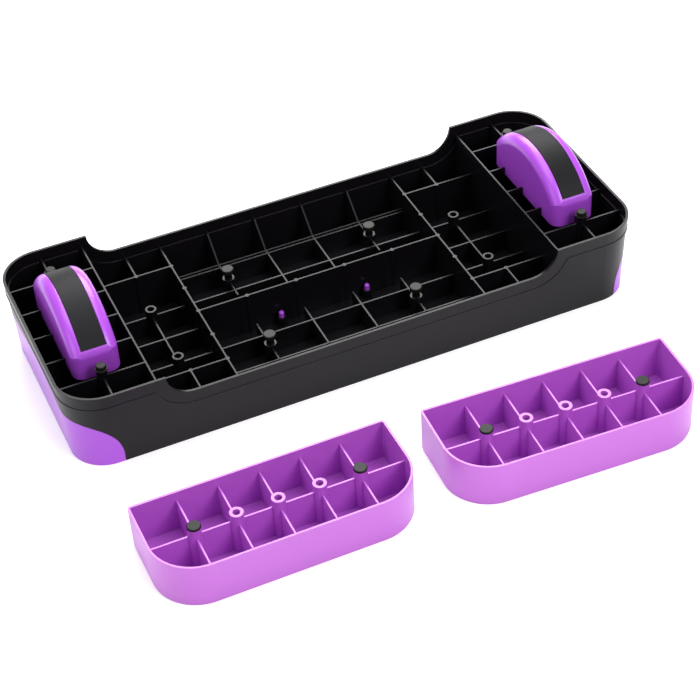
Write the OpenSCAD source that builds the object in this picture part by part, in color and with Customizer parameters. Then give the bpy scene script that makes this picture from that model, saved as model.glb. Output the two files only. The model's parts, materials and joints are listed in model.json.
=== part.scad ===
// Modular slant and balance board: a long ribbed deck, two clip-in rockers and two riser trays.
// Everything stands as it is stored: the deck lies on its tread with the ribs up, the rockers are
// plugged into its end bays, and the two risers stand in front of it, open side up.
// Origin: centre of the deck's tread, on the floor. +X runs along the deck, +Y away from the
// risers, +Z up.

/* [Which piece] */
// One sub-part, or all of them

/* [Deck] */
// Length over the lip
deck_length = 680; // [560:1:820]
// Width over the lip
deck_width = 273.6; // [225:0.1:330]
// Height of the end rims above the tread
deck_height = 99; // [80:1:120]
// Plan radius of the lip's corners
corner_radius = 46; // [35:1:55]
// How far each wall leans in from the rim to the tread
wall_draft = 4.1; // [0:0.1:8]
// Thickness of the side walls
wall = 3; // [2.6:0.1:5]
// Thickness of the plate under the tread
tread_plate = 4.5; // [4.2:0.1:7]
// Height of the raised lip around the rim
lip_height = 17; // [10:1:24]
// How far the lip stands out of the wall
lip_proud = 0.9; // [0.5:0.1:1.5]
// Height of the bead along the lip's lower edge
bead_height = 1.6; // [1:0.1:3]
// How far the bead stands out of the lip
bead_proud = 0.5; // [0.4:0.1:1]
// Depth of the ledge inside the rim
ledge_depth = 15; // [8:1:20]
// Depth of the low middle of the long sides, below the end rims
waist_drop = 30; // [15:1:40]
// Radius of the sweep from the end rims into the waist
waist_radius = 31; // [20:1:40]

/* [Deck ribs and posts] */
// Thickness of a rib
rib = 2; // [1.6:0.1:3]
// Distance between the long ribs, which is also the spacing of the sockets
grid_pitch = 45; // [38:1:50]
// Distance from the deck's end to the row of sockets
socket_inset = 53.5; // [48:0.5:60]
// Length of the end bay's inner half, from the sockets to the high cross rib
end_bay = 48; // [42:0.5:55]
// Length of the bay between the high and the middle cross rib
middle_bay = 90; // [70:1:100]
// How far the end bay's ribs lie below the rim
end_rib_below_rim = 11; // [6:1:16]
// How far the middle cross ribs lie below the waist
mid_rib_below_waist = 12; // [6:1:20]
// Height of the low ribs above the floor
low_rib_top = 32; // [20:1:36]
// Outer radius of a socket
socket_radius = 7; // [6:0.1:8]
// Bore radius of the sockets, the bosses and the corner posts
bore_radius = 4; // [3.5:0.1:4.5]
// Depth of a socket's bore below the rocker's seat
socket_depth = 33; // [28:1:40]
// Height of the hollow bosses
boss_top = 42; // [38:1:50]
// Outer radius of the hollow bosses
boss_radius = 6.5; // [6:0.1:8]
// How far the bosses stand from the middle of their bay, towards the deck's middle
boss_shift = 2.5; // [0:0.5:5]
// Distance from a middle cross rib to the stud posts
stud_inset = 59; // [40:1:65]
// Distance from the long centre line to the stud posts
stud_y = 64.5; // [58:0.5:75]
// Height of the stud posts, without their rubber
stud_top = 44.5; // [40:0.5:50]
// Place of the cross ribs on each side of the middle
cross_rib_x = 30; // [24:1:36]
// Gap between the two skins of the double rib behind the stud posts
double_rib_gap = 5.5; // [4:0.5:8]

/* [Rubber feet] */
// Radius of a corner foot's head
foot_radius = 5.6; // [5:0.1:7]
// Radius of the flange under a corner foot's head
foot_flange = 7.2; // [6.5:0.1:8]
// Height of a corner foot above its post
foot_height = 6.5; // [5:0.5:9]
// How far the corner posts stand above the end bay's ribs
post_rise = 9; // [6:1:12]
// Height of a stud's rubber pad
pad_height = 5; // [3:0.5:8]
// Radius of a stud's rubber pad
pad_radius = 7.2; // [6:0.1:8]
// Length of the stem that holds a foot or pad in its post
stem_length = 12; // [8:1:16]
// Radial clearance around a stem
stem_clearance = 0.3; // [0.3:0.05:0.5]

/* [End panels, badge and mat] */
// Thickness of the purple end panels
skin = 1.6; // [1.2:0.1:1.8]
// Clearance around the panels, the badge and the mat
trim_gap = 0.25; // [0.2:0.05:0.4]
// Height of a panel in the middle of the end wall
panel_top = 69; // [50:1:78]
// Distance from the deck's end to the panel's edge on its short corner
panel_short = 28; // [22:1:36]
// Distance from the deck's end to the panel's edge on its long corner
panel_long = 54; // [44:1:60]
// Radius of the sweep at the panel's long corner
panel_sweep = 52; // [40:1:60]
// Thickness of the tread mat and the badge
mat_thickness = 2; // [1.5:0.1:2.2]
// Length of the badge
badge_length = 128; // [118:1:150]
// Width of the badge
badge_width = 40; // [30:1:60]
// Distance between the badge's two pegs
peg_spacing = 107; // [90:1:110]
// Radius of a badge peg
badge_peg_radius = 2.9; // [2:0.1:3.2]
// Height of the badge pegs above the floor
badge_peg_top = 24; // [18:1:30]
// Height of the collars around the badge pegs
collar_top = 17; // [8:0.5:18]

/* [Rockers] */
// Width of a rocker
rocker_width = 53; // [45:0.5:60]
// Length of a rocker
rocker_length = 151; // [130:1:160]
// Height of a rocker above its seat
rocker_height = 66.8; // [58:0.2:75]
// Radius of the rocker's arc
rocker_radius = 97; // [90:1:110]
// Depth of the seat below the end bay's ribs
seat_depth = 11; // [6:1:14]
// Clearance between a rocker's sides and its seat
seat_side_gap = 1; // [0.5:0.1:2]
// Gap under a resting rocker
seat_gap = 0.2; // [0.1:0.05:0.3]
// Roundness of the rocker's long edges
rocker_edge = 12; // [8:1:14]
// Plan radius of the rocker's corners
rocker_corner = 12; // [6:1:14]
// Roundness of the shoulder between the arc and the end faces
rocker_shoulder = 14; // [4:1:18]
// Wall of a rocker
rocker_wall = 2.5; // [2:0.1:3.5]
// Length of the pegs below a rocker
peg_length = 26; // [18:1:27]
// Clearance of a peg in its socket
peg_clearance = 0.3; // [0.3:0.05:0.5]
// Width of the grip strip
grip_width = 27.5; // [20:0.5:32]
// Angle that the grip strip covers
grip_angle = 95; // [60:1:96]
// Thickness of the grip strip
grip_thickness = 1.5; // [1:0.1:2]

/* [Risers] */
// Length of a riser
riser_length = 282.6; // [250:0.1:300]
// Width of a riser
riser_width = 110.5; // [95:0.1:130]
// Height of a riser's rim
riser_height = 53.9; // [45:0.1:65]
// Radius of the riser's two front corners
riser_corner = 50; // [35:1:52]
// Radius of the riser's two back corners
riser_back_corner = 4; // [3:0.5:8]
// Wall of a riser
riser_wall = 2.5; // [2:0.1:4]
// Outer radius of the riser's posts
riser_post_radius = 7.4; // [6.5:0.1:9]
// How far the riser's ribs lie below its rim
riser_rib_drop = 10.5; // [4:0.5:16]
// Height of the shadow step at the riser's foot
riser_step = 2.5; // [1:0.5:4]
// Place of the left riser's middle: along X, along Y, and its turn in degrees
left_riser = [-178.1, -306.4, 0];
// Place of the right riser's middle: along X, along Y, and its turn in degrees
right_riser = [141, -318, -2.8];

/* [Hidden] */
$fn = 96;
eps = 0.01;
// Room that a cutting shape takes beyond what it cuts
over = 1;
slope = wall_draft / deck_height;
waist_z = deck_height - waist_drop;
sweep_z = waist_z + waist_radius;
socket_x = deck_length / 2 - socket_inset;
end_rib_x = socket_x - end_bay;
mid_rib_x = end_rib_x - middle_bay;
waist_half = end_rib_x - waist_radius - 7.5;
stud_x = mid_rib_x - stud_inset;
boss_x = (end_rib_x + mid_rib_x) / 2 - boss_shift;
end_rib_top = deck_height - end_rib_below_rim;
mid_rib_top = waist_z - mid_rib_below_waist;
corner_post_y = 2 * grid_pitch;
corner_post_top = end_rib_top + post_rise;
peg_y = -7;
double_rib_y = corner_post_y + 1;
double_rib_end = double_rib_y + double_rib_gap;
channel_y = -grid_pitch / 2;
seat_z = end_rib_top - seat_depth;
inner_half_width = deck_width / 2 - lip_proud - wall;

rocker_base = seat_z + seat_gap;
rocker_axis_z = rocker_base + rocker_height - rocker_radius;
groove = grip_thickness + 0.2;
groove_gap = 0.7;
riser_rib_top = riser_height - riser_rib_drop;
riser_post_top = riser_height - 0.2;
purple = [0.62, 0.28, 0.78];
riser_purple = [0.76, 0.46, 0.88];
charcoal = [0.17, 0.16, 0.17];
black_rubber = [0.1, 0.1, 0.1];
grip_grey = [0.2, 0.2, 0.21];
mat_grey = [0.3, 0.3, 0.32];

// ---------- the deck's leaning form ----------

// How far the form has shrunk from the lip's outline at height z, moved in by inset
function shrink(z, inset) = lip_proud + inset + slope * (deck_height - z);

// A block with leaning sides and round corners between two heights, moved in by inset
module deck_form(inset, z0, z1) {
    low = shrink(z0, inset);
    high = shrink(z1, inset);
    half_x = deck_length / 2;
    half_y = deck_width / 2;
    core_x = half_x - corner_radius;
    core_y = half_y - corner_radius;
    tall = z1 - z0;
    translate([0, 0, z0]) {
        rotate([90, 0, 90])
            linear_extrude(2 * core_x, center = true)
                polygon([[low - half_y, 0], [half_y - low, 0], [half_y - high, tall], [high - half_y, tall]]);
        rotate([90, 0, 0])
            linear_extrude(2 * core_y, center = true)
                polygon([[low - half_x, 0], [half_x - low, 0], [half_x - high, tall], [high - half_x, tall]]);
        for (turn = [0, 90, 180, 270])
            translate([(turn == 0 || turn == 270) ? core_x : -core_x, turn < 180 ? core_y : -core_y, 0])
                rotate([0, 0, turn])
                    rotate_extrude(angle = 90)
                        polygon([[0, 0], [corner_radius - low, 0], [corner_radius - high, tall], [0, tall]]);
    }
}

// Everything within depth of the rim line, which dips in the middle of the long sides
module near_rim(depth) {
    top = deck_height + 2 * over;
    translate([-deck_length, -deck_width, deck_height - depth])
        cube([2 * deck_length, 2 * deck_width, top - deck_height + depth]);
    translate([-waist_half, -deck_width, waist_z - depth])
        cube([2 * waist_half, 2 * deck_width, top - waist_z + depth]);
    for (side = [-1, 1])
        translate([side * waist_half, 0, sweep_z])
            rotate([90, 0, 0])
                cylinder(h = 2 * deck_width, r = waist_radius + depth, center = true);
}

// What is missing above the low middle of the long sides
module waist_cut() {
    translate([-waist_half, -deck_width, waist_z])
        cube([2 * waist_half, 2 * deck_width, waist_drop + waist_radius]);
    for (side = [-1, 1])
        translate([side * waist_half, 0, sweep_z])
            rotate([90, 0, 0])
                cylinder(h = 2 * deck_width, r = waist_radius, center = true);
}

// The deck's outer form with its lip and bead, up to the dipped rim
module deck_block() {
    difference() {
        union() {
            deck_form(0, 0, deck_height);
            intersection() {
                deck_form(-lip_proud, low_rib_top, deck_height);
                near_rim(lip_height);
            }
            intersection() {
                deck_form(-lip_proud - bead_proud, low_rib_top, deck_height - lip_height + bead_height);
                difference() {
                    near_rim(lip_height);
                    near_rim(lip_height - bead_height);
                }
            }
        }
        waist_cut();
    }
}

// The room inside the deck's walls, down to the tread plate
module deck_room() {
    deck_form(wall, tread_plate, deck_height + over);
    intersection() {
        deck_form(wall - lip_proud, low_rib_top, deck_height + over);
        near_rim(ledge_depth);
    }
}

module deck_shell() {
    color(charcoal)
        difference() {
            union() {
                difference() {
                    deck_block();
                    deck_room();
                }
                for (side = [-1, 1])
                    post(side * peg_spacing / 2, peg_y, badge_peg_radius + trim_gap + 2, 1, collar_top);
            }
            for (side = [-1, 1])
                translate([side * peg_spacing / 2, peg_y, -over])
                    cylinder(h = collar_top + 2 * over, r = badge_peg_radius + trim_gap);
            mat_plate(trim_gap, mat_thickness + over);
            badge_plate(trim_gap, mat_thickness + over);
            for (turn = [0, 180])
                rotate([0, 0, turn])
                    intersection() {
                        panel_zone(trim_gap);
                        panel_skin(skin + trim_gap, over);
                    }
        }
}

// ---------- the deck's ribs, posts and sockets ----------

// A rib along X between two places, up to a height
module rib_x(x0, x1, y, top, floor = tread_plate) {
    translate([min(x0, x1), y - rib / 2, floor])
        cube([abs(x1 - x0), rib, top - floor]);
}

// A rib along Y between two places, up to a height
module rib_y(y0, y1, x, top, floor = tread_plate) {
    translate([x - rib / 2, min(y0, y1), floor])
        cube([rib, abs(y1 - y0), top - floor]);
}

// A round post between two heights
module post(x, y, radius, floor, top) {
    translate([x, y, floor])
        cylinder(h = top - floor, r = radius);
}

// A small round node where ribs meet
module rib_node(x, y, top) {
    post(x, y, 2.6, tread_plate, top);
}

// A round hole down from a height
module bore(x, y, radius, top, depth) {
    translate([x, y, top - depth])
        cylinder(h = depth + over, r = radius);
}

// Ribs trimmed to the room inside the deck, in the deck's colour
module inside_deck() {
    color(charcoal)
        intersection() {
            deck_room();
            union()
                children();
        }
}

module cross_rib_form(side) {
    rib_y(-deck_width, deck_width, side * mid_rib_x, mid_rib_top);
    for (row = [-2:2])
        rib_node(side * mid_rib_x, row * grid_pitch, mid_rib_top);
}

module cross_rib_left() {
    inside_deck()
        cross_rib_form(-1);
}

module cross_rib_right() {
    inside_deck()
        cross_rib_form(1);
}

module centre_rib_form() {
    rib_x(-mid_rib_x, mid_rib_x, 0, mid_rib_top);
    for (x = [-3, -1, 1, 3])
        rib_node(x * cross_rib_x, 0, mid_rib_top);
}

module centre_rib() {
    inside_deck()
        difference() {
            centre_rib_form();
            cross_rib_form(-1);
            cross_rib_form(1);
        }
}

// A sloping web from the waist's ledge down to the nearest low rib
module wall_gusset(x, foot_y) {
    reach = deck_width / 2;
    translate([x - rib / 2, 0, 0])
        rotate([90, 0, 90])
            linear_extrude(rib)
                polygon([[foot_y, tread_plate], [reach, tread_plate], [reach, mid_rib_top],
                    [inner_half_width - 2 * wall, mid_rib_top], [foot_y, low_rib_top]]);
}

// A stud post with its wide foot
module stud(x, y) {
    post(x, y, 7, tread_plate, low_rib_top + 4);
    post(x, y, 4.5, tread_plate, stud_top);
}

// The low ribs behind the centre rib, with two stud posts
module low_ribs_back() {
    inside_deck()
        difference() {
            union() {
                rib_x(-mid_rib_x, mid_rib_x, grid_pitch, low_rib_top);
                rib_x(-mid_rib_x, mid_rib_x, double_rib_y, low_rib_top);
                rib_x(-mid_rib_x, mid_rib_x, double_rib_end, low_rib_top);
                for (side = [-1, 1]) {
                    rib_y(0, double_rib_end, side * cross_rib_x, low_rib_top);
                    rib_y(grid_pitch - 10, double_rib_end, side * stud_x, low_rib_top);
                    wall_gusset(side * cross_rib_x, double_rib_end);
                    wall_gusset(side * stud_x, double_rib_end);
                    stud(side * stud_x, stud_y);
                }
            }
            cross_rib_form(-1);
            cross_rib_form(1);
            centre_rib_form();
            for (side = [-1, 1])
                bore(side * stud_x, stud_y, 2.5, stud_top, stem_length + 2);
        }
}

// The low ribs in front of the channel, with two stud posts
module low_ribs_front() {
    inside_deck()
        difference() {
            union() {
                rib_x(-mid_rib_x, mid_rib_x, -grid_pitch, low_rib_top);
                rib_x(-mid_rib_x, mid_rib_x, -corner_post_y, low_rib_top);
                for (side = [-1, 1]) {
                    rib_y(channel_y + 2, -corner_post_y, side * cross_rib_x, low_rib_top);
                    rib_y(channel_y, -corner_post_y, side * stud_x, low_rib_top);
                    rotate([0, 0, 180]) {
                        wall_gusset(side * cross_rib_x, corner_post_y);
                        wall_gusset(side * stud_x, corner_post_y);
                    }
                    stud(side * stud_x, -stud_y);
                }
            }
            cross_rib_form(-1);
            cross_rib_form(1);
            for (side = [-1, 1])
                bore(side * stud_x, -stud_y, 2.5, stud_top, stem_length + 2);
        }
}

// The low ribs of a middle bay, with its two hollow bosses
module bay_ribs(side) {
    inside_deck()
        difference() {
            union() {
                for (row = [-1:1])
                    rib_x(side * mid_rib_x, side * end_rib_x, row * grid_pitch, low_rib_top);
                rib_y(-grid_pitch, grid_pitch, side * boss_x, low_rib_top);
                for (row = [-1, 1])
                    post(side * boss_x, row * grid_pitch, boss_radius, tread_plate, boss_top);
            }
            cross_rib_form(side);
            rib_y(-deck_width, deck_width, side * end_rib_x, end_rib_top);
            for (row = [-1, 1])
                bore(side * boss_x, row * grid_pitch, bore_radius, boss_top, boss_top);
        }
}

module bay_ribs_left() {
    bay_ribs(-1);
}

module bay_ribs_right() {
    bay_ribs(1);
}

// The ribs between a middle bay and the deck's long wall
module side_ribs(side, end) {
    inside_deck()
        difference() {
            union() {
                rib_x(side * mid_rib_x, side * end_rib_x, end * corner_post_y, mid_rib_top);
                rib_node(side * boss_x, end * corner_post_y, mid_rib_top);
                rib_y(end * corner_post_y, end * deck_width, side * boss_x, mid_rib_top);
            }
            cross_rib_form(side);
            rib_y(-deck_width, deck_width, side * end_rib_x, end_rib_top);
        }
}

module side_ribs_front_left() {
    side_ribs(-1, -1);
}

module side_ribs_front_right() {
    side_ribs(1, -1);
}

module side_ribs_back_left() {
    side_ribs(-1, 1);
}

module side_ribs_back_right() {
    side_ribs(1, 1);
}

// Everything above the rocker's seat, and a little beside it
module seat_cut(side) {
    half_x = rocker_width / 2 + seat_side_gap;
    half_y = rocker_length / 2 + seat_side_gap;
    translate([side * socket_x - half_x, -half_y, seat_z])
        cube([2 * half_x, 2 * half_y, deck_height]);
}

// The high ribs of an end bay, with the rocker's sockets and the corner posts
module end_ribs(side) {
    inside_deck()
        difference() {
            union() {
                rib_y(-deck_width, deck_width, side * end_rib_x, end_rib_top);
                rib_y(-deck_width, deck_width, side * socket_x, end_rib_top);
                for (row = [-2:2])
                    rib_x(side * end_rib_x, side * deck_length, row * grid_pitch, end_rib_top);
                for (end = [-1, 1])
                    post(side * socket_x, end * corner_post_y, 6, tread_plate, corner_post_top);
                for (row = [-1:1])
                    post(side * socket_x, row * grid_pitch, socket_radius, tread_plate, end_rib_top);
            }
            seat_cut(side);
            for (row = [-1:1])
                bore(side * socket_x, row * grid_pitch, bore_radius, seat_z, socket_depth);
            for (end = [-1, 1])
                bore(side * socket_x, end * corner_post_y, bore_radius, corner_post_top, stem_length + 2);
        }
}

module end_ribs_left() {
    end_ribs(-1);
}

module end_ribs_right() {
    end_ribs(1);
}

// ---------- end panels, mat and badge ----------

// The part of the left end that a panel covers, made larger by grow
module panel_zone(grow) {
    end_x = deck_length / 2;
    arch_radius = 260;
    lean = 0.16;
    tall = panel_top + 10;
    // Below a shallow arch on the end wall, as far as a leaning edge at the short corner
    intersection() {
        translate([-end_x, -20, panel_top - arch_radius])
            rotate([0, 90, 0])
                cylinder(h = 4 * panel_short, r = arch_radius + grow, center = true);
        rotate([90, 0, 0])
            linear_extrude(2 * deck_width, center = true)
                polygon([[-2 * end_x, -2 * over], [panel_short - end_x + grow, -2 * over],
                    [panel_short - end_x - lean * tall + grow, tall], [-2 * end_x, tall]]);
    }
    // The sweep around the long corner, turned so that it leaves the tread at the short one
    translate([panel_long - panel_sweep - (panel_long - panel_short) / 2 - end_x, 0, 9])
        rotate([0, 0, atan((panel_long - panel_short) / deck_width)])
            rotate([90, 0, 0]) {
                cylinder(h = 1.4 * deck_width, r = panel_sweep + grow, center = true);
                translate([0, -panel_sweep / 2, 0])
                    cube([2 * (panel_sweep + grow), panel_sweep, 1.4 * deck_width], center = true);
            }
}

// The outermost layer of the deck's walls and tread, with some room outside it
module panel_skin(thickness, outside) {
    difference() {
        deck_form(-outside, -outside, panel_top + 12);
        deck_form(thickness, thickness, panel_top + 13);
    }
}

module end_panel(turn) {
    color(purple)
        rotate([0, 0, turn])
            intersection() {
                panel_skin(skin, 0);
                panel_zone(0);
            }
}

module end_panel_left() {
    end_panel(0);
}

module end_panel_right() {
    end_panel(180);
}

// A flat plate with round corners, lying on the floor
module round_plate(length, width, radius, height) {
    translate([radius - length / 2, -width / 2, 0])
        cube([length - 2 * radius, width, height]);
    translate([-length / 2, radius - width / 2, 0])
        cube([length, width - 2 * radius, height]);
    for (x = [-1, 1], y = [-1, 1])
        translate([x * (length / 2 - radius), y * (width / 2 - radius), 0])
            cylinder(h = height, r = radius);
}

module mat_plate(grow, height) {
    length = deck_length - 2 * panel_long - 12;
    width = deck_width - 38;
    translate([0, 0, mat_thickness - height])
        round_plate(length + 2 * grow, width + 2 * grow, 16, height);
}

module badge_plate(grow, height) {
    translate([0, 0, mat_thickness - height])
        round_plate(badge_length + 2 * grow, badge_width + 2 * grow, 8, height);
}

module tread_mat() {
    color(mat_grey)
        difference() {
            mat_plate(0, mat_thickness);
            translate([0, 0, over])
                badge_plate(trim_gap, mat_thickness + 2 * over);
        }
}

module centre_badge() {
    color(purple)
        union() {
            badge_plate(0, mat_thickness);
            for (side = [-1, 1])
                translate([side * peg_spacing / 2, peg_y, over]) {
                    cylinder(h = badge_peg_top - over - 1, r = badge_peg_radius);
                    translate([0, 0, badge_peg_top - over - 1])
                        cylinder(h = 1, r1 = badge_peg_radius, r2 = badge_peg_radius - 0.8);
                }
        }
}

// ---------- rubber feet and pads ----------

// A rubber button with a stem below it; its head's underside is at the origin
module rubber_button(radius, height, stem_radius) {
    edge = 1.2;
    color(black_rubber)
        union() {
            rotate_extrude()
                union() {
                    square([radius, height - edge]);
                    square([radius - edge, height]);
                    intersection() {
                        translate([radius - edge, height - edge])
                            circle(r = edge);
                        square([radius, height]);
                    }
                }
            translate([0, 0, -stem_length])
                cylinder(h = stem_length + 1, r = stem_radius);
        }
}

module foot(x, y) {
    color(black_rubber)
        translate([x, y, corner_post_top]) {
            rubber_button(foot_radius, foot_height, bore_radius - stem_clearance);
            cylinder(h = 1.8, r = foot_flange);
        }
}

module pad(x, y) {
    translate([x, y, stud_top])
        rubber_button(pad_radius, pad_height, 2.5 - stem_clearance);
}

module foot_front_left() {
    foot(-socket_x, -corner_post_y);
}

module foot_front_right() {
    foot(socket_x, -corner_post_y);
}

module foot_back_left() {
    foot(-socket_x, corner_post_y);
}

module foot_back_right() {
    foot(socket_x, corner_post_y);
}

module pad_front_left() {
    pad(-stud_x, -stud_y);
}

module pad_front_right() {
    pad(stud_x, -stud_y);
}

module pad_back_left() {
    pad(-stud_x, stud_y);
}

module pad_back_right() {
    pad(stud_x, stud_y);
}

// ---------- rockers ----------

// Turns a profile (distance from the arc's axis, place along X) about the rocker's axis
module about_rocker_axis(angle) {
    translate([0, 0, rocker_axis_z])
        rotate([0, -90, 0])
            rotate([0, 0, -angle / 2])
                rotate_extrude(angle = angle)
                    children();
}

// The rocker's arched form, moved in by inset, above its base
module rocker_form(inset) {
    radius = rocker_radius - inset;
    half = rocker_width / 2 - inset;
    edge = rocker_edge - inset;
    shoulder = rocker_shoulder - inset;
    half_length = rocker_length / 2 - inset;
    shoulder_y = rocker_length / 2 - rocker_shoulder;
    shoulder_z = sqrt(pow(rocker_radius - rocker_shoulder, 2) - pow(shoulder_y, 2));
    arc_end = shoulder_y * rocker_radius / (rocker_radius - rocker_shoulder);
    intersection() {
        about_rocker_axis(360)
            union() {
                translate([0, edge - half])
                    square([radius, 2 * (half - edge)]);
                translate([0, -half])
                    square([radius - edge, 2 * half]);
                for (side = [-1, 1])
                    translate([radius - edge, side * (half - edge)])
                        circle(r = edge);
            }
        translate([0, 0, rocker_base])
            round_plate(2 * half, 2 * half_length, rocker_corner - inset, 2 * rocker_height);
        union() {
            translate([-rocker_width, -arc_end, rocker_base])
                cube([2 * rocker_width, 2 * arc_end, 2 * rocker_height]);
            translate([-rocker_width, -half_length, rocker_base])
                cube([2 * rocker_width, 2 * half_length, rocker_axis_z + shoulder_z - rocker_base]);
            for (end = [-1, 1])
                translate([0, end * shoulder_y, rocker_axis_z + shoulder_z])
                    rotate([0, 90, 0])
                        cylinder(h = 2 * rocker_width, r = shoulder, center = true);
        }
    }
}

module rocker(x) {
    color(purple)
        translate([x, 0, 0])
            difference() {
                union() {
                    difference() {
                        rocker_form(0);
                        translate([0, 0, -eps])
                            rocker_form(rocker_wall);
                    }
                    intersection() {
                        rocker_form(0.5);
                        for (row = [-1:1])
                            post(0, row * grid_pitch, 6, rocker_base, rocker_base + rocker_height);
                    }
                    for (row = [-1:1])
                        post(0, row * grid_pitch, bore_radius - peg_clearance, rocker_base - peg_length,
                            rocker_base + over);
                }
                about_rocker_axis(grip_angle + 2 * atan(groove_gap / rocker_radius))
                    translate([rocker_radius - groove, -grip_width / 2 - groove_gap])
                        square([groove + over, grip_width + 2 * groove_gap]);
            }
}

module rocker_grip(x) {
    color(grip_grey)
        translate([x, 0, 0])
            about_rocker_axis(grip_angle)
                translate([rocker_radius - groove + 0.3, -grip_width / 2])
                    square([grip_thickness, grip_width]);
}

module rocker_left() {
    rocker(-socket_x);
}

module rocker_right() {
    rocker(socket_x);
}

module rocker_grip_left() {
    rocker_grip(-socket_x);
}

module rocker_grip_right() {
    rocker_grip(socket_x);
}

// ---------- risers ----------

// A tray's form: straight back, large round front corners; moved in by inset
module riser_form(inset, z0, z1) {
    half_x = riser_length / 2 - inset;
    half_y = riser_width / 2 - inset;
    front = riser_corner - inset;
    back = max(riser_back_corner - inset, 1);
    tall = z1 - z0;
    translate([0, 0, z0]) {
        translate([-half_x, front - half_y, 0])
            cube([2 * half_x, 2 * half_y - front - back, tall]);
        translate([front - half_x, -half_y, 0])
            cube([2 * (half_x - front), half_y, tall]);
        translate([back - half_x, 0, 0])
            cube([2 * (half_x - back), half_y, tall]);
        for (side = [-1, 1]) {
            translate([side * (half_x - front), front - half_y, 0])
                cylinder(h = tall, r = front);
            translate([side * (half_x - back), half_y - back, 0])
                cylinder(h = tall, r = back);
        }
    }
}

// The tray: outer wall, floor and the narrower step at its foot
module riser_tray() {
    color(riser_purple)
        difference() {
            union() {
                riser_form(0, riser_step, riser_height);
                riser_form(0.8, 0, riser_step + eps);
            }
            riser_form(riser_wall, riser_wall, riser_height + over);
        }
}

// The ribs of a tray, which run from its wall to its posts
module riser_ribs() {
    color(riser_purple)
        intersection() {
            riser_form(riser_wall, riser_wall, riser_height + over);
            difference() {
                union() {
                    rib_x(-riser_length, riser_length, 0, riser_rib_top, riser_wall);
                    for (row = [-2:2])
                        rib_y(-riser_width, riser_width, row * grid_pitch, riser_rib_top - 1, riser_wall);
                }
                for (row = [-2:2])
                    post(row * grid_pitch, 0, riser_post_radius, 0, riser_height + over);
            }
        }
}

// The row of posts in a tray, each with a socket
module riser_posts() {
    color(riser_purple)
        difference() {
            for (row = [-2:2])
                post(row * grid_pitch, 0, riser_post_radius, riser_wall, riser_post_top);
            for (row = [-2:2])
                bore(row * grid_pitch, 0, bore_radius, riser_post_top, riser_height);
        }
}

module place_riser(place) {
    translate([place[0], place[1], 0])
        rotate([0, 0, place[2]])
            children();
}

// The rubber plug in an outer post of a riser
module riser_foot(place, side) {
    place_riser(place)
        translate([side * corner_post_y, 0, riser_post_top])
            rubber_button(riser_post_radius, 2.5, bore_radius - stem_clearance);
}

module riser_left() {
    place_riser(left_riser)
        riser_tray();
}

module riser_right() {
    place_riser(right_riser)
        riser_tray();
}

module riser_left_ribs() {
    place_riser(left_riser)
        riser_ribs();
}

module riser_right_ribs() {
    place_riser(right_riser)
        riser_ribs();
}

module riser_left_posts() {
    place_riser(left_riser)
        riser_posts();
}

module riser_right_posts() {
    place_riser(right_riser)
        riser_posts();
}

module riser_left_foot_a() {
    riser_foot(left_riser, -1);
}

module riser_left_foot_b() {
    riser_foot(left_riser, 1);
}

module riser_right_foot_a() {
    riser_foot(right_riser, -1);
}

module riser_right_foot_b() {
    riser_foot(right_riser, 1);
}

deck_shell();
centre_rib();
cross_rib_left();
cross_rib_right();
low_ribs_front();
low_ribs_back();
bay_ribs_left();
bay_ribs_right();
end_ribs_left();
end_ribs_right();
side_ribs_front_left();
side_ribs_front_right();
side_ribs_back_left();
side_ribs_back_right();
tread_mat();
centre_badge();
end_panel_left();
end_panel_right();
foot_front_left();
foot_front_right();
foot_back_left();
foot_back_right();
pad_front_left();
pad_front_right();
pad_back_left();
pad_back_right();
rocker_left();
rocker_right();
rocker_grip_left();
rocker_grip_right();
riser_left();
riser_right();
riser_left_ribs();
riser_right_ribs();
riser_left_posts();
riser_right_posts();
riser_left_foot_a();
riser_left_foot_b();
riser_right_foot_a();
riser_right_foot_b();
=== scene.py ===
# %% [markdown]
# # A slant and balance board, upside down
# The board is a long ribbed deck that lies on its tread. Two purple rockers are plugged into its
# end bays, and two riser trays stand in front of it. Every hard piece is already modelled and
# packed as the frame, in metres, with the tread's centre on the floor as the origin. This script
# gives the pieces their plastics and rubbers, and builds the light, the floor and the camera.
# Loading the frame comes first. The finished looks may not outgrow it.

import json
import math

import bmesh
import bpy
from mathutils import Matrix, Vector

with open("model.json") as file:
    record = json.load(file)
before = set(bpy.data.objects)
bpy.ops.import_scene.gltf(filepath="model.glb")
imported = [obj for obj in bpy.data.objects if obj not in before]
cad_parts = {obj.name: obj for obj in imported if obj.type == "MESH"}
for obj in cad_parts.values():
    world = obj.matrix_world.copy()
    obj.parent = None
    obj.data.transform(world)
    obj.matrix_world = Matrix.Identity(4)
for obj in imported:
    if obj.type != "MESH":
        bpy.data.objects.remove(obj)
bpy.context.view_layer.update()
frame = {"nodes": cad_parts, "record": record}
nodes = frame["nodes"]

# %% [markdown]
# ## The camera
# A long lens far away keeps the deck's long sides nearly parallel. The camera is placed on a sphere
# around a point just in front of the deck: a turn around the upright axis, a tilt down, and a
# distance. It is then rolled a little about its own line of sight, so the deck climbs to the right.

# %% Camera
AIM = Vector((-0.0007, -0.0780, 0.0))
TURN = math.radians(-21.581)
TILT = math.radians(41.102)
ROLL = math.radians(-3.703)
DISTANCE = 2.0956
LENS_MM = 95.43
SENSOR_MM = 36.0

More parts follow.
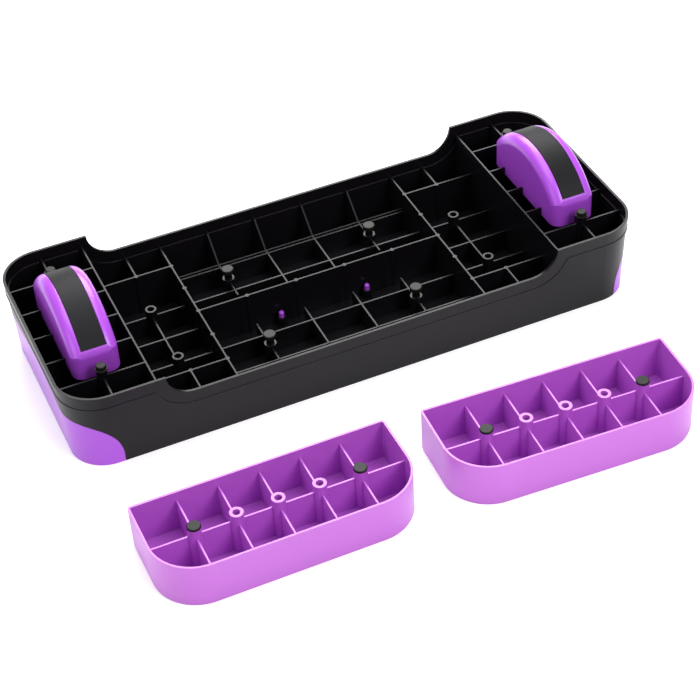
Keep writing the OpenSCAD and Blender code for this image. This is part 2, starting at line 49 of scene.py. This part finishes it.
eye = AIM + DISTANCE * Vector(
    (
        math.cos(TILT) * math.sin(TURN),
        -math.cos(TILT) * math.cos(TURN),
        math.sin(TILT),
    )
)
look = (AIM - eye).normalized()
camera_data = bpy.data.cameras.new("camera")
camera_data.lens = LENS_MM
camera_data.sensor_width = SENSOR_MM
camera = bpy.data.objects.new("camera", camera_data)
bpy.context.collection.objects.link(camera)
upright = look.to_track_quat("-Z", "Y").to_matrix().to_4x4()
camera.matrix_world = Matrix.Translation(eye) @ upright @ Matrix.Rotation(ROLL, 4, "Z")
bpy.context.scene.camera = camera
print("camera at", tuple(round(c, 3) for c in eye))

# %% [markdown]
# ## Light and floor
# The light is soft and has no visible lamps: a very large panel overhead, one behind the deck, one
# in front and a weaker one on the left, in a dim white surround. The panel behind stands where the
# camera would see it mirrored in level plastic, so the ribs' tops and the rims catch a sheen while
# the hollows stay dark. The floor is one pale plane, far wider than the object. It glows a little
# by itself, so that the object's shadow stays faint. It is stage, not object.

# %% Lights and floor
STUDIO_WHITE = (0.93, 0.93, 0.94, 1.0)
SURROUND_STRENGTH = 0.34
FLOOR_HALF_WIDTH = 15.0
FLOOR_MIDDLE = (0, 0, 0)
DECK_MIDDLE = (0, 0, 0.07)
BEFORE_THE_DECK = (0, -0.1, 0.05)


def soft_light(name, place, aim, size, power):
    """Hangs a square area light of this size at place, turned to face aim. Power is in watts."""
    data = bpy.data.lights.new(name, "AREA")
    data.shape = "SQUARE"
    data.size = size
    data.energy = power
    lamp = bpy.data.objects.new(name, data)
    bpy.context.collection.objects.link(lamp)
    turned = (Vector(aim) - Vector(place)).to_track_quat("-Z", "Y").to_matrix().to_4x4()
    lamp.matrix_world = Matrix.Translation(place) @ turned


soft_light("overhead_panel", (-0.2, 0.2, 2.1), FLOOR_MIDDLE, size=1.8, power=34)
soft_light("back_panel", (0.61, 1.54, 1.45), DECK_MIDDLE, size=1.5, power=62)
soft_light("left_panel", (-2.2, -0.8, 1.3), BEFORE_THE_DECK, size=1.2, power=12)
soft_light("front_panel", (0.9, -1.9, 1.9), BEFORE_THE_DECK, size=1.2, power=40)

world = bpy.data.worlds.new("white_surround")
world.use_nodes = True
surround = world.node_tree.nodes["Background"]
surround.inputs["Color"].default_value = STUDIO_WHITE
surround.inputs["Strength"].default_value = SURROUND_STRENGTH
bpy.context.scene.world = world
bpy.context.scene.view_settings.view_transform = "Standard"

floor_shape = bmesh.new()
bmesh.ops.create_grid(floor_shape, x_segments=1, y_segments=1, size=FLOOR_HALF_WIDTH)
floor_mesh = bpy.data.meshes.new("floor")
floor_shape.to_mesh(floor_mesh)
floor_shape.free()
floor = bpy.data.objects.new("floor", floor_mesh)
bpy.context.collection.objects.link(floor)
print("four panels, a dim white surround and a floor")

# %% [markdown]
# ## A small language for materials
# A material is a network of nodes. Wiring each node by hand hides the idea, so a recipe wraps the
# network: one method adds any node, and a number that flows between nodes can be scaled, added to,
# or taken from a plain number with ordinary operators. Each operator adds one Math node behind the
# scenes. A Mix node has sockets for every kind of data, so its colour sockets go by their places.

# %% Material recipes
MIX_COLOUR_LOW = 6
MIX_COLOUR_HIGH = 7
MIX_COLOUR_RESULT = 2
EDGE_SAMPLES = 4


class Number:
    """A number that varies over a surface, held as a node's output socket."""

    def __init__(self, recipe, socket):
        self.recipe = recipe
        self.socket = socket

    def _math(self, operation, first, second):
        made = self.recipe.node(
            "ShaderNodeMath", {"operation": operation}, {0: first, 1: second}
        )
        return Number(self.recipe, made.outputs[0])

    def __add__(self, other):
        return self._math("ADD", self, other)

    def __rsub__(self, other):
        return self._math("SUBTRACT", other, self)

    def __mul__(self, other):
        return self._math("MULTIPLY", self, other)


class Recipe:
    """A material and the nodes in it."""

    def __init__(self, name):
        self.material = bpy.data.materials.new(name)
        self.material.use_nodes = True
        self.tree = self.material.node_tree
        self.tree.nodes.clear()
        self.place = self.node("ShaderNodeTexCoord").outputs["Object"]

    def node(self, kind, settings=None, sockets=None):
        """Adds a node, sets its properties, then fills or links its inputs."""
        made = self.tree.nodes.new(kind)
        for key, value in (settings or {}).items():
            setattr(made, key, value)
        for key, value in (sockets or {}).items():
            if isinstance(value, Number):
                value = value.socket
            if isinstance(value, bpy.types.NodeSocket):
                self.tree.links.new(value, made.inputs[key])
            else:
                made.inputs[key].default_value = value
        return made

    def noise(self, scale, detail=2.0, roughness=0.5):
        """Cloudy noise in the object's own space, from 0 to 1."""
        made = self.node(
            "ShaderNodeTexNoise",
            None,
            {"Vector": self.place, "Scale": scale, "Detail": detail, "Roughness": roughness},
        )
        return Number(self, made.outputs[0])

    def studs(self, pitch):
        """Rows of round studs in the object's own space: 1 on each stud's middle, falling away."""
        made = self.node(
            "ShaderNodeTexVoronoi",
            None,
            {"Vector": self.place, "Scale": 1.0 / pitch, "Randomness": 0.0},
        )
        return 1.0 - Number(self, made.outputs["Distance"]) * 2.0

    def blend(self, mask, low, high):
        """One colour where mask is 0 and another where it is 1."""
        made = self.node(
            "ShaderNodeMix",
            {"data_type": "RGBA"},
            {"Factor": mask, MIX_COLOUR_LOW: low, MIX_COLOUR_HIGH: high},
        )
        return made.outputs[MIX_COLOUR_RESULT]

    def rounded(self, radius):
        """A surface normal that turns softly over sharp edges, as if they had this radius."""
        made = self.node("ShaderNodeBevel", {"samples": EDGE_SAMPLES}, {"Radius": radius})
        return made.outputs["Normal"]

    def bump(self, height, distance, below):
        """A surface normal with a relief of this distance in metres, laid over another normal."""
        made = self.node(
            "ShaderNodeBump", None, {"Height": height, "Distance": distance, "Normal": below}
        )
        return made.outputs["Normal"]

    def finish(self, **sockets):
        """Adds the surface shader, with its inputs named with underscores for spaces."""
        named = {key.replace("_", " "): value for key, value in sockets.items()}
        shader = self.node("ShaderNodeBsdfPrincipled", None, named)
        self.node("ShaderNodeOutputMaterial", None, {"Surface": shader.outputs[0]})
        print("material:", self.material.name, len(self.tree.nodes), "nodes")
        return self.material


# %% [markdown]
# ## Moulded plastics
# The deck, the rockers and the risers are all injection moulded. Such plastic is one colour right
# through, with a fine spark-eroded grain from the tool and a gloss that drifts slightly where the
# melt cooled unevenly. So each recipe has a base colour with a faint cloud in it, a roughness that
# drifts, and a very fine bump. The black deck reflects least and the trays reflect most.
# The scales count how often each pattern repeats in a metre.

# %% Plastics
CLOUD_SCALE = 9.0
GLOSS_DRIFT_SCALE = 23.0
TOOL_GRAIN_SCALE = 1400.0
GLOSS_DRIFT = 0.08


def moulded_plastic(name, colour, deeper, roughness, shine, grain, edge):
    """A moulded plastic. Grain is the depth of its texture and edge its radius, in metres."""
    recipe = Recipe(name)
    cloud = recipe.noise(CLOUD_SCALE, detail=3.0)
    drift = recipe.noise(GLOSS_DRIFT_SCALE)
    texture = recipe.noise(TOOL_GRAIN_SCALE, roughness=0.6)
    return recipe.finish(
        Base_Color=recipe.blend(cloud, deeper, colour),
        Roughness=drift * GLOSS_DRIFT + (roughness - GLOSS_DRIFT / 2),
        Normal=recipe.bump(texture, grain, recipe.rounded(edge)),
        Specular_IOR_Level=shine,
    )


deck_plastic = moulded_plastic(
    "deck_black",
    colour=(0.005, 0.004, 0.0055, 1),
    deeper=(0.0034, 0.0027, 0.0038, 1),
    roughness=0.34,
    shine=0.2,
    grain=0.00005,
    edge=0.0006,
)
purple_plastic = moulded_plastic(
    "rocker_purple",
    colour=(0.375, 0.066, 0.62, 1),
    deeper=(0.35, 0.06, 0.59, 1),
    roughness=0.30,
    shine=0.5,
    grain=0.00002,
    edge=0.0008,
)
riser_plastic = moulded_plastic(
    "riser_lilac",
    colour=(0.49, 0.118, 0.60, 1),
    deeper=(0.46, 0.105, 0.565, 1),
    roughness=0.36,
    shine=0.65,
    grain=0.00002,
    edge=0.0008,
)

# %% [markdown]
# ## Rubbers
# The feet, the pads and the grip strips are black rubber, and the tread mat is dark grey. Rubber
# scatters light almost evenly, so it is rougher than the plastic, and a little dust sits in its
# grain. The tread mat is the one that shoes stand on, so it is also covered in rows of low studs.

# %% Rubbers
DUST_SCALE = 420.0
RUBBER_GRAIN_SCALE = 900.0
DUST_DULLING = 0.1
STUD_HEIGHT = 0.0006
STUD_PITCH = 0.006


def moulded_rubber(name, colour, dusty, roughness, shine, grain, edge, stud_pitch=None):
    """A rubber. Grain is the depth of its texture and edge its radius, in metres."""
    recipe = Recipe(name)
    speck = recipe.noise(DUST_SCALE, detail=4.0, roughness=0.7)
    texture = recipe.noise(RUBBER_GRAIN_SCALE, detail=3.0, roughness=0.65)
    skin = recipe.bump(texture, grain, recipe.rounded(edge))
    if stud_pitch:
        skin = recipe.bump(recipe.studs(stud_pitch), STUD_HEIGHT, skin)
    return recipe.finish(
        Base_Color=recipe.blend(speck, colour, dusty),
        Roughness=speck * DUST_DULLING + (roughness - DUST_DULLING / 2),
        Normal=skin,
        Specular_IOR_Level=shine,
    )


foot_rubber = moulded_rubber(
    "foot_black",
    colour=(0.006, 0.006, 0.005, 1),
    dusty=(0.010, 0.010, 0.009, 1),
    roughness=0.45,
    shine=0.2,
    grain=0.00003,
    edge=0.0005,
)
grip_rubber = moulded_rubber(
    "grip_black",
    colour=(0.007, 0.0065, 0.008, 1),
    dusty=(0.011, 0.0105, 0.012, 1),
    roughness=0.5,
    shine=0.12,
    grain=0.00006,
    edge=0.0003,
)
mat_rubber = moulded_rubber(
    "mat_grey",
    colour=(0.06, 0.06, 0.064, 1),
    dusty=(0.09, 0.09, 0.094, 1),
    roughness=0.7,
    shine=0.3,
    grain=0.0001,
    edge=0.0005,
    stud_pitch=STUD_PITCH,
)

# %% [markdown]
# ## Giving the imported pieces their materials
# The record names a material slot for each node. A table from slot to material is enough to
# dress every piece, and the floor gets a plain pale finish.

# %% Dress the nodes
slot_material = {
    "deck_plastic": deck_plastic,
    "purple_plastic": purple_plastic,
    "riser_plastic": riser_plastic,
    "foot_rubber": foot_rubber,
    "grip_rubber": grip_rubber,
    "mat_rubber": mat_rubber,
}
for part in frame["record"]["subparts"]:
    piece = nodes[part["node"]]
    piece.data.materials.clear()
    piece.data.materials.append(slot_material[part["material_slot"]])

floor_paint = Recipe("floor_paint").finish(
    Base_Color=(0.8, 0.8, 0.8, 1),
    Roughness=0.8,
    Specular_IOR_Level=0.2,
    Emission_Color=(1.0, 0.995, 1.0, 1),
    Emission_Strength=0.35,
)
floor.data.materials.append(floor_paint)
print("dressed", len(nodes), "nodes")
